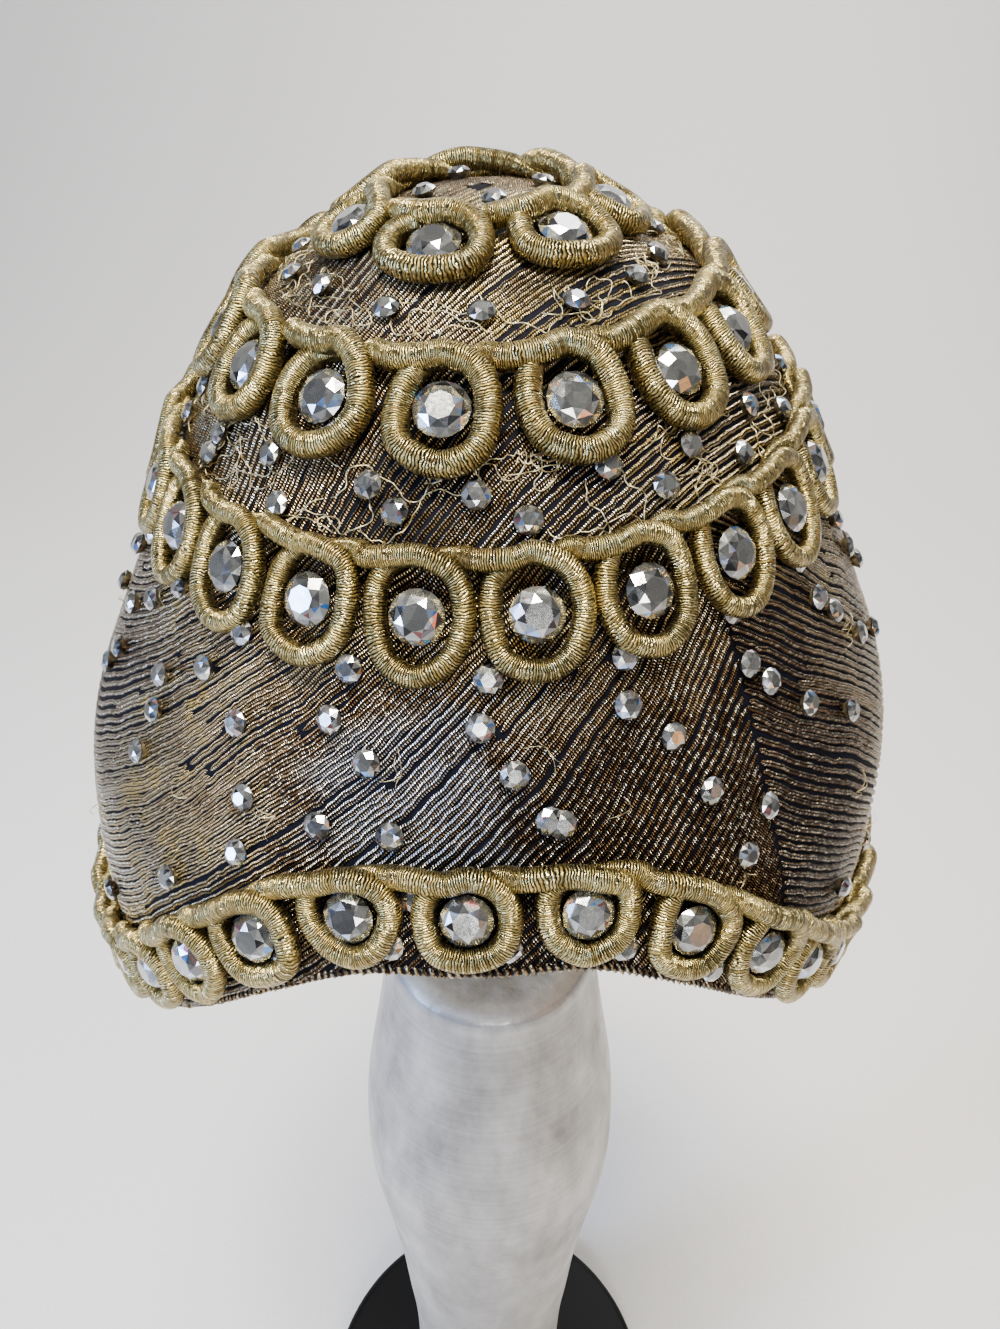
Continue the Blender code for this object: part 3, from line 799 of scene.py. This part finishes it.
smallStone = {
    "radius": 0.0022,
    "top": 0.0021,
    "girdle": 0.0012,
    "stray": 0.0016,
    "rows": (  # arc from the crown, stones round the cap, angle of one of them, share of the stray
        (0.0100, 4, 20.0, 1.0), (0.0340, 15, 0.0, 1.0), (0.0600, 20, 1.0, 1.0), (0.0652, 18, 8.0, 1.0),
        (0.0855, 22, 1.2, 0.3), (0.0930, 20, 19.0, 1.0), (0.1000, 21, -14.0, 1.0), (0.1080, 20, 9.0, 1.0),
        (0.1165, 18, -29.0, 1.0),
    ),
    "rimRows": ((0.0040, 36, 3.0, 0.3), (0.0225, 18, 8.0, 0.3)),  # above the rim's edge
    "seed": 41,
}


def whiteMetal():
    # stamped white-metal settings, dulled with age, in darker and lighter blotches
    return grainedFinish("stamped_white_metal", {"Metallic": 1.0}, (1.6, 2.0), (1, 1, 1),
                         ((0.35, "#4b463e"), (0.6, "#b3a98f")), (0.3, 0.5), (0.2, 0.0001))


def smallPlaces():  # the small stones' guides, runs and drops, clear of the cords
    rng = random.Random(smallStone["seed"])
    places = []
    rows = [(levelGuide(row[0]), *row[1:]) for row in smallStone["rows"]]
    rows += [(rimGuide(row[0]), *row[1:]) for row in smallStone["rimRows"]]
    for guide, count, turn, tight in rows:
        first = float(np.interp(math.radians(turn), guide.angles, guide.runs))
        for k in range(count):
            run = first + k * guide.length / count + tight * rng.uniform(-1, 1) * smallStone["stray"]
            down = tight * rng.uniform(-1, 1) * smallStone["stray"]
            places.append((guide, run, down))
    return places


def makeSmallStones(glass):
    rng = random.Random(smallStone["seed"] + 1)
    stones, cups = bmesh.new(), bmesh.new()
    radius, girdle = smallStone["radius"], smallStone["girdle"]
    for guide, run, down in smallPlaces():
        spun = Matrix.Rotation(rng.uniform(0, math.pi / 2), 4, "Z")
        tilt = Matrix.Rotation(math.radians(rng.uniform(-7, 7)), 4, rng.choice("XY"))
        at = seat(guide, run, down, 0.0003) @ tilt @ spun
        brilliant(stones, radius, 6, at, (girdle, 0.0001, smallStone["top"], 0.0), rng)
        bmesh.ops.create_cone(cups, cap_ends=False, segments=8, depth=girdle, radius1=0.55 * radius,
                              radius2=1.05 * radius, matrix=at @ Matrix.Translation((0, 0, 0.4 * girdle)))
    newPiece("smallStones", meshOf(stones, "smallStones", smooth=False), glass, [], "cut_glass")
    newPiece("stoneCups", meshOf(cups, "stoneCups", smooth=False), whiteMetal(), [], "cut_glass")
    print("small stones")


# couched gilt threads that wander round the small stones, and frayed ends

thread = {
    "radius": 0.00009,
    "bands": ((0.0310, 0.0385, 34), (0.0560, 0.0680, 64)),  # between which arcs, how many threads
    "length": (0.022, 0.050),
    "step": 0.0011,
    "lift": 0.00072,
    "frays": 46,
    "seed": 77,
}


def couchedThread():
    # japan gold: a flat gilt strip wrapped on silk, smooth, with small breaks in its shine
    return grainedFinish("couched_gilt_thread", {"Metallic": 0.9}, (0.6, 2.0), (1, 1, 1),
                         ((0.3, "#857752"), (0.5, "#bdb084"), (0.7, "#e6deb9")), (0.25, 0.5), (0.4, 0.0001))


def addThread(curve, points, radii):
    line = curve.splines.new("POLY")
    line.points.add(len(points) - 1)
    for knot, point, radius in zip(line.points, points, radii):
        knot.co = (*point, 1)
        knot.radius = radius


def curveMesh(name, bevel):  # a 3-D curve, turned into a mesh once its lines are laid
    curve = bpy.data.curves.new(name, "CURVE")
    curve.dimensions = "3D"
    curve.bevel_depth = bevel
    curve.bevel_resolution = 1
    curve.use_fill_caps = True
    return curve


def meshFromCurve(curve, name):
    holder = bpy.data.objects.new(name, curve)
    bpy.context.scene.collection.objects.link(holder)
    bpy.context.view_layer.update()
    mesh = bpy.data.meshes.new_from_object(holder.evaluated_get(bpy.context.evaluated_depsgraph_get()))
    bpy.data.objects.remove(holder)
    mesh.materials.clear()
    mesh.shade_smooth()
    return mesh


def makeThreads():
    material = couchedThread()
    rng = random.Random(thread["seed"])
    curve = curveMesh("couchedThreads", thread["radius"])
    for low, high, count in thread["bands"]:
        guide = levelGuide((low + high) / 2)
        for k in range(count):
            run = (k + rng.uniform(-0.5, 0.5)) * guide.length / count
            down = rng.uniform(-0.5, 0.5) * (high - low)
            heading, bend, phase = rng.uniform(0, 6.3), rng.uniform(0.2, 0.7), rng.uniform(0, 6.3)
            steps = int(rng.uniform(*thread["length"]) / thread["step"])
            points = []
            for j in range(steps):
                heading += 0.8 * bend * math.sin(0.3 * j + phase) + rng.uniform(-0.65, 0.65)
                if abs(down) > (high - low) / 2:
                    heading = -heading
                run += thread["step"] * math.cos(heading)
                down += thread["step"] * math.sin(heading) * 0.8
                down = max(-0.6 * (high - low), min(0.6 * (high - low), down))
                lift = thread["lift"] + 0.00035 * math.sin(1.3 * j + phase)
                points.append(onCap(*guide.beside(run, down), lift))
            addThread(curve, smoothLine(points, 2), [1.0] * (2 * steps))
    newPiece("couchedThreads", meshFromCurve(curve, "couchedThreads"), material, [], "gilt_cord")
    curve = curveMesh("frayedEnds", 0.00007)
    for _ in range(thread["frays"]):
        angle = rng.uniform(-math.pi, math.pi)
        arc = rng.uniform(0.084, float(rimArc(angle)) - 0.004)
        for _ in range(rng.randint(2, 4)):
            reach, curl, way = rng.uniform(0.002, 0.0045), rng.uniform(-0.6, 0.6), rng.uniform(0, 6.3)
            points = [onCap(angle + reach * t * math.cos(way + curl * t) / 0.086,
                            arc + reach * t * math.sin(way + curl * t),
                            0.0004 + 0.0014 * math.sin(2.6 * t)) for t in np.linspace(0, 1, 7)]
            addThread(curve, points, np.linspace(1, 0.4, 7))
    newPiece("frayedEnds", meshFromCurve(curve, "frayedEnds"), material, [], "lame_cloth")
    print("threads and frayed ends")


# the stand: a turned post in silver leaf on a lacquered disc, and what the cap sits on

stand = {
    "baseRadius": 0.080,
    "baseThickness": 0.012,
    "baseEdge": 0.004,
    "gap": 0.0003,
    "postRadius": 0.0425,
    "postHeight": 0.366,
    "postLip": 0.0065,  # rounding of the post's top edge
    "postDish": 0.0002,  # how far its top is hollowed
    "bevel": 0.0008,  # of the base's lower edge
    "ringFade": 0.05,  # below the top
    "rings": 0.00012,  # depth of the turning marks
    "ringPitch": 0.0021,
    "stemRadius": 0.010,
    "stemTenon": 0.020,
    "socket": 0.010,
    "formReach": 0.044,
    "outline": (  # radius (share of postRadius), height (share of postHeight), from the top down
        (0.690, 1.000), (0.715, 0.985), (0.832, 0.900), (0.963, 0.800), (1.000, 0.700), (0.920, 0.600),
        (0.842, 0.500), (0.800, 0.410), (0.757, 0.320), (0.748, 0.220), (0.755, 0.100), (0.770, 0.000),
    ),
}


def turned(name, outline, steps, material, cadNode, slotName):
    bm = bmesh.new()
    verts = [bm.verts.new((radius, 0, height)) for radius, height in outline]
    edges = [bm.edges.new(pair) for pair in zip(verts, verts[1:])]
    bmesh.ops.spin(bm, geom=verts + edges, cent=(0, 0, 0), axis=(0, 0, 1), angle=2 * math.pi,
                   steps=steps, use_merge=True)
    closeUp(bm)
    mesh = meshOf(bm, name)
    mesh.set_sharp_from_angle(angle=math.radians(50))
    newPiece(name, mesh, material, [cadNode], slotName)


def silverLeaf():
    # silver leaf laid on gesso and rubbed: soft metal with faint rings and cloudy patches; its top lip
    # is painted pale in gesso colour and made rough, as painted light on the top that the cap shades
    material, add, place = newMaterial("silver_leaf_painted_top_light", {"Metallic": 0.40})
    level = add("Mapping", {"Scale": (0.004, 0.004, 1.0)}, {"Vector": place})
    rings = add("TexNoise", {"Scale": noiseScale(1.6), "Detail": 3.0, "Roughness": 0.6}, {"Vector": level})
    upright = add("Mapping", {"Scale": (1.0, 1.0, 0.45)}, {"Vector": place})
    patch = add("TexNoise", {"Scale": noiseScale(15), "Detail": 5.0, "Roughness": 0.6}, {"Vector": upright})
    grit = add("TexNoise", {"Scale": noiseScale(0.9), "Detail": 3.0}, {"Vector": place})
    mottle = add("Mix", {"data_type": "FLOAT", 0: 0.22}, {2: patch, 3: rings})
    leaf = add("ValToRGB", {"stops": [
        (0.34, "#85827d"), (0.50, "#a3a19c"), (0.66, "#bfbdb8")]}, {"Fac": mottle})
    parts = add("SeparateXYZ", links={"Vector": place})
    top = stand["baseThickness"] + stand["postHeight"]
    # painted light: the top lip turns a pale gesso colour, and rough, where the cap shades the top
    paintedTopLightMask = add("MapRange", {"From Min": top - 0.0030, "From Max": top - 0.0002},
                     {"Value": parts.outputs["Z"]})
    paleTopPaintedLight = add("ValToRGB", {"stops": [(0.36, "#c9b795"), (0.62, "#f4e6cb")]}, {"Fac": patch})
    colour = add("Mix", {"data_type": "RGBA"}, {0: paintedTopLightMask, 6: leaf, 7: paleTopPaintedLight})
    sheen = add("MapRange", {"From Min": 0.3, "From Max": 0.7, "To Min": 0.50, "To Max": 0.26},
                    {"Value": mottle})
    polish = add("Mix", {"data_type": "FLOAT", 3: 0.90}, {0: paintedTopLightMask, 2: sheen})
    dents = add("Math", {"operation": "MULTIPLY_ADD", 1: 5.0}, {0: patch, 2: rings})
    height = add("Math", {"operation": "MULTIPLY_ADD", 1: 0.3}, {0: grit, 2: dents})
    return finishShader(material, colour, polish, height, 0.5, 0.0003)


def blackLacquer():
    # sprayed black lacquer, rubbed to a satin: faint orange peel and dust
    material, add, place = newMaterial("black_lacquer", {"Specular IOR Level": 0.16})
    peel = add("TexNoise", {"Scale": noiseScale(2.5), "Detail": 1.0}, {"Vector": place})
    dust = add("TexNoise", {"Scale": noiseScale(0.8), "Detail": 6.0, "Roughness": 0.8}, {"Vector": place})
    colour = add("ValToRGB", {"stops": [(0.55, "#040405"), (0.75, "#151414")]}, {"Fac": dust})
    polish = add("MapRange", {"To Min": 0.40, "To Max": 0.60}, {"Value": dust})
    return finishShader(material, colour, polish, peel, 0.12, 0.0003)


def steelRod():
    # cold-drawn steel, oiled: fine lines along its length
    return grainedFinish("drawn_steel", {"Metallic": 1.0}, (0.7, 2.0), (1, 1, 0.03),
                         ((0.3, "#5d6063"), (0.7, "#9a9da0")), (0.25, 0.45), (0.2, 0.0001))


def paintedWood():
    # brushed flat paint over turned wood, its grain just showing
    return grainedFinish("painted_wood", {}, (3, 4.0), (1, 0.12, 1),
                         ((0.3, "#262321"), (0.7, "#3a3633")), (0.5, 0.75), (0.3, 0.0003))


def rounded(outer, top, radius):  # a quarter round, from the top down
    return [(outer - radius * (1 - math.sin(a)), top - radius * (1 - math.cos(a)))
            for a in np.radians(range(0, 91, 15))]


def makeStand():
    disc, reach, bevel = stand["baseThickness"], stand["baseRadius"], stand["bevel"]
    bottom, top = disc + stand["gap"], disc + stand["postHeight"]
    edge = rounded(reach, disc, stand["baseEdge"])
    turned("baseDisc", [(0, disc)] + edge + [(reach, bevel), (reach - bevel, 0), (0, 0)], 120,
           blackLacquer(), "base", "black_lacquer")
    side = [(radius * stand["postRadius"], bottom + height * (top - bottom))
            for radius, height in smoothLine(stand["outline"], 14)]
    side = [(radius - stand["rings"] * (0.5 + 0.5 * math.sin(2 * math.pi * height / stand["ringPitch"]))
             * max(0, 1 - (top - height) / stand["ringFade"]), height) for radius, height in side]
    lip, bore = stand["postLip"], stand["stemRadius"] + stand["gap"]
    side = [(radius, height) for radius, height in side if height < top - lip]
    shoulder = side[0][0]
    crest = rounded(shoulder, top, lip)
    floor = top - stand["stemTenon"] - stand["gap"]
    hollow = [(bore, top - stand["postDish"]), (shoulder - 1.6 * lip, top - stand["postDish"])]
    turned("turnedPost", [(0, floor), (bore, floor)] + hollow + crest + side + [(0, bottom)], 144,
           silverLeaf(), "post", "silver_leaf")
    under = min(float(onCap(a, stand["formReach"], -capShape["wall"] - stand["gap"])[2])
                for a in np.radians(range(0, 360, 10)))
    rod, low, high = stand["stemRadius"], top - stand["stemTenon"], under + stand["socket"]
    turned("stemRod", [(0, low), (rod, low), (rod, high), (0, high)], 48, steelRod(), "stem", "steel_rod")
    bm = bmesh.new()
    layGrid(bm, 72, 16, lambda u, v: onCap(u * 2 * math.pi, v * stand["formReach"],
                                           -capShape["wall"] - stand["gap"] + 0 * u))
    bmesh.ops.remove_doubles(bm, verts=bm.verts, dist=0.00001)
    bmesh.ops.contextual_create(bm, geom=[e for e in bm.edges if e.is_boundary])
    closeUp(bm)
    mesh = meshOf(bm, "crownForm")
    mesh.set_sharp_from_angle(angle=math.radians(50))
    newPiece("crownForm", mesh, paintedWood(), ["hat_form"], "painted_wood")
    print("stand")


# camera, floor and lights

studio = {
    "camera": (0.0017, -0.1885, 0.6181),
    "pitch": 37.0,  # degrees below level
    "roll": -0.70,
    "lens": 36,  # millimetres, on a sensor as wide
    "shades": ("#e3e0db", "#e9e6e1"),  # of the floor's fibres
    "daylight": ("#e8ecf2", 0.16),
    "lights": (  # name, place, aimed at, size, strength in watts, colour
        ("overheadSoftbox", (-0.06, -0.20, 1.60), (0, 0, 0.52), (0.45, 0.30), 44, "#fff8ec"),
        ("frontSoftbox", (0.15, -1.30, 0.80), (0, 0, 0.38), (0.5, 0.30), 9, "#ffffff"),
        ("leftWindow", (-1.20, -0.60, 0.80), (0, 0, 0.42), (0.3, 0.8), 27, "#a9c6ff"),
        ("rightFill", (1.2, -1.0, 0.60), (0, 0, 0.40), (0.4, 0.6), 2.5, "#ffb36a"),
        ("backLift", (0.5, 0.9, 1.5), (0, 1.6, 0.2), (1.2, 0.6), 26, "#ffffff"),
    ),
}


def makeStudio():
    camera = bpy.data.objects.new("camera", bpy.data.cameras.new("camera"))
    camera.data.lens = camera.data.sensor_width = studio["lens"]
    camera.data.sensor_fit = "HORIZONTAL"
    camera.data.clip_start = 0.01
    aimed = Matrix.Rotation(math.radians(90 - studio["pitch"]), 4, "X")
    rolled = Matrix.Rotation(math.radians(-studio["roll"]), 4, "Z")
    camera.matrix_world = Matrix.Translation(studio["camera"]) @ aimed @ rolled
    bpy.context.scene.collection.objects.link(camera)
    bpy.context.scene.camera = camera
    # floor, curving up into a backdrop far behind
    wide, near, deep, bend, tall = 14, -4, 5, 1.2, 6

    def sweep(u, v):  # level, then bent, then upright
        turn = np.clip((v - 0.5) / 0.3, 0, 1) * math.pi / 2
        back = near + deep * np.minimum(v, 0.5) / 0.5 + bend * np.sin(turn)
        up = bend * (1 - np.cos(turn)) + tall * np.clip((v - 0.8) / 0.2, 0, 1)
        return np.stack([(u - 0.5) * wide, back, up], -1)

    bm = bmesh.new()
    layGrid(bm, 4, 40, sweep)
    bmesh.ops.recalc_face_normals(bm, faces=bm.faces)
    floor = bpy.data.objects.new("floor", meshOf(bm, "floor"))
    bpy.context.scene.collection.objects.link(floor)
    material, add, place = newMaterial("matt_paper", {"Roughness": 0.9})
    fibre = add("TexNoise", {"Scale": noiseScale(2), "Detail": 3.0}, {"Vector": place})
    colour = add("ValToRGB", {"stops": zip((0.3, 0.7), studio["shades"])}, {"Fac": fibre})
    tree = material.node_tree
    tree.links.new(colour.outputs["Color"], tree.nodes["Principled BSDF"].inputs["Base Color"])
    floor.data.materials.append(material)
    for name, place, aim, size, watts, hue in studio["lights"]:
        lamp = bpy.data.lights.new(name, "AREA")
        lamp.shape = "RECTANGLE"
        lamp.size, lamp.size_y = size
        lamp.energy = watts
        lamp.color = tone(hue)[:3]
        holder = bpy.data.objects.new(name, lamp)
        holder.location = place
        holder.rotation_euler = (Vector(aim) - Vector(place)).to_track_quat("-Z", "Y").to_euler()
        bpy.context.scene.collection.objects.link(holder)
    world = bpy.data.worlds.new("studio")
    world.use_nodes = True
    sky = world.node_tree.nodes["Background"].inputs
    hue, strength = studio["daylight"]
    sky["Color"].default_value, sky["Strength"].default_value = tone(hue), strength
    bpy.context.scene.world = world
    print("studio")


makeStudio()
makeCapShell()
makeLameRibs()
makeHem()
makeCords()
glass = foiledGlass()
makeStones(glass)
makeSmallStones(glass)
makeThreads()
makeStand()
